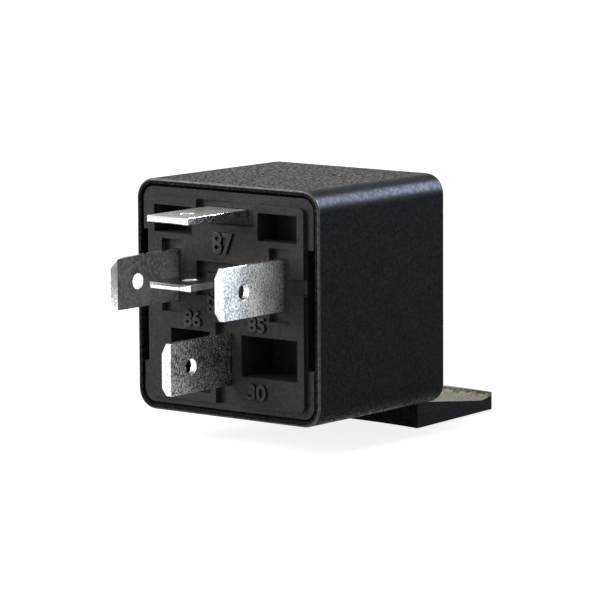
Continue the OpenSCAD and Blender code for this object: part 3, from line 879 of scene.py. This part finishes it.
@dataclass
class Coil:
    """The bobbin, its winding of wire laid turn by turn, and the two lead wires.

    Below the outer turns lies a plain sleeve, sunk by so many wire diameters, whose bore is a
    share of the core's width.
    """

    reel_edges: Edges = Edges(0.12)
    lead_edges: Edges = Edges(0.0)
    wire_mm: float = 0.35
    steps: int = 48
    wire_sides: int = 8
    wire_merge_mm: float = 0.001
    wire_smooth_deg: float = 50.0
    sleeve_sink: float = 0.7
    sleeve_bore: float = 0.62
    reel: MouldedPolyamide = MouldedPolyamide(
        "natural_polyester", "ddd3b6", "e6dfc8", roughness=0.38, ior=1.4, grain_mm=0.5,
        grain_depth_mm=0.004)
    copper: EnamelledCopper = EnamelledCopper()

    def turns(self, low: Vector, high: Vector) -> bpy.types.Object:
        """Wind the outer layer as one helix with closed ends.

        Args:
            low: The winding's lowest corner.
            high: Its highest corner.

        Returns:
            The helix.
        """
        thick = self.wire_mm * MM
        radius = (high.x - low.x) / 2
        axis = Vector(((low.x + high.x) / 2, low.y + thick / 2, (low.z + high.z) / 2))
        count = int((high.y - low.y - thick) / thick)
        deselect()
        bpy.ops.mesh.primitive_circle_add(vertices=self.wire_sides, radius=thick / 2,
                                          location=axis + Vector((radius - thick / 2, 0, 0)))
        helix = bpy.context.object
        bpy.context.scene.cursor.location = axis
        bpy.ops.object.origin_set(type="ORIGIN_CURSOR")
        screw = helix.modifiers.new("turns", "SCREW")
        screw.axis = "Y"
        screw.iterations = count
        screw.steps = screw.render_steps = self.steps
        screw.screw_offset = (high.y - low.y - thick) / count
        apply_modifiers(helix)
        bpy.ops.object.mode_set(mode="EDIT")
        bpy.ops.mesh.select_all(action="SELECT")
        bpy.ops.mesh.remove_doubles(threshold=self.wire_merge_mm * MM)
        bpy.ops.mesh.fill_holes(sides=0)
        bpy.ops.mesh.select_all(action="SELECT")
        bpy.ops.mesh.normals_make_consistent(inside=False)
        bpy.ops.object.mode_set(mode="OBJECT")
        return helix

    def sleeve(self, low: Vector, high: Vector) -> bpy.types.Object:
        """Fill the winding under its outer turns.

        Args:
            low: The winding's lowest corner.
            high: Its highest corner.

        Returns:
            The sleeve, open for the core.
        """
        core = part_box("core")
        outer = (high.x - low.x) / 2 - self.sleeve_sink * (self.wire_mm * MM)
        deselect()
        bpy.ops.mesh.primitive_cylinder_add(vertices=self.steps, radius=outer, depth=high.y - low.y,
                                            end_fill_type="NOTHING", location=(low + high) / 2,
                                            rotation=(math.radians(90), 0, 0))
        layers = bpy.context.object
        wall = layers.modifiers.new("layers", "SOLIDIFY")
        wall.thickness = outer - self.sleeve_bore * (core[1].x - core[0].x)
        wall.offset = -1.0
        apply_modifiers(layers)
        return layers

    def winding(self, material: bpy.types.Material) -> bpy.types.Object:
        """Join the outer turns and the layers below them.

        The real wire is far thinner, and its turns are drawn as coarse as the lead so that they show.

        Args:
            material: The wire's finish.

        Returns:
            The winding, which stands for its solid.
        """
        low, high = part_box("coil_winding")
        helix = self.turns(low, high)
        layers = self.sleeve(low, high)
        deselect()
        layers.select_set(True)
        helix.select_set(True)
        bpy.context.view_layer.objects.active = helix
        bpy.ops.object.join()
        bpy.ops.object.transform_apply(location=True, rotation=True, scale=True)
        bpy.ops.object.shade_smooth_by_angle(angle=math.radians(self.wire_smooth_deg))
        helix.name = "winding_turns"
        dress(helix, material)
        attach(helix, Body.HOUSING.value)
        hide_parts("coil_winding")
        return helix

    def build(self) -> list[bpy.types.Object]:
        """Dress the bobbin and the leads, and wind the coil.

        Returns:
            The bobbin, the winding and the leads.
        """
        copper = self.copper.build()
        pieces = [finished_copy("bobbin", "bobbin_reel", self.reel.build(),
                                Body.HOUSING, self.reel_edges)]
        pieces.append(self.winding(copper))
        for end in ("start", "finish"):
            pieces.append(finished_copy("coil_lead_" + end, "lead_" + end, copper,
                                        Body.HOUSING, self.lead_edges))
        return pieces


@dataclass
class Contacts:
    """The contact spring, the contacts and the rivets."""

    edges: Edges = Edges(0.14, segments=3)
    leaf_edges: Edges = Edges(0.03)
    bend_before_mm: float = 1.0
    bend_above_mm: float = 2.0
    bronze: RolledBronze = RolledBronze()
    silver: PlatedSheet = PlatedSheet(
        "silver_alloy", "dcdad4", "b9b5ab", roughness=0.22, grain_mm=0.35, grain_depth_mm=0.006)
    zinc: PlatedSheet = PlatedSheet(
        "zinc_plated_steel", "bfc2c4", "a0a3a3", roughness=0.3, grain_mm=0.3, grain_depth_mm=0.008)

    def spring(self) -> bpy.types.Object:
        """Dress the spring, then take it off the housing and leave it where it stands.

        Returns:
            The spring.
        """
        piece = finished_copy("contact_spring", "contact_leaf", self.bronze.build(),
                              Body.HOUSING, self.leaf_edges)
        piece.parent = None
        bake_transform(piece)
        return piece

    def build(self) -> list[bpy.types.Object]:
        """Dress the pieces of the switch.

        Returns:
            The spring, the contacts and the rivets.
        """
        silver = self.silver.build()
        zinc = self.zinc.build()
        contacts = {"moving_contact": Body.ARMATURE, "fixed_contact_no": Body.HOUSING,
                    "fixed_contact_nc": Body.HOUSING}
        rivets = {"spring_rivets": Body.HOUSING, "armature_rivets": Body.ARMATURE,
                  "terminal_30_rivet": Body.HOUSING}
        pieces = [self.spring()]
        for node, body in contacts.items():
            pieces.append(finished_copy(node, node + "_silver", silver, body,
                                        self.edges))
        for node, body in rivets.items():
            pieces.append(finished_copy(node, node + "_zinc", zinc, body, self.edges))
        return pieces


def main() -> None:
    """Load the frame, set the stage and build every piece."""
    logging.basicConfig(level=logging.INFO, format="%(name)s: %(message)s")
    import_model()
    Camera().build()
    Studio().build()
    for group in (CoverShell(), Base(), Blades(), Magnet(), Coil(), Contacts()):
        for piece in group.build():
            log.info("%s: %s, %d faces", type(group).__name__, piece.name, len(piece.data.polygons))


if __name__ == "__main__":
    main()
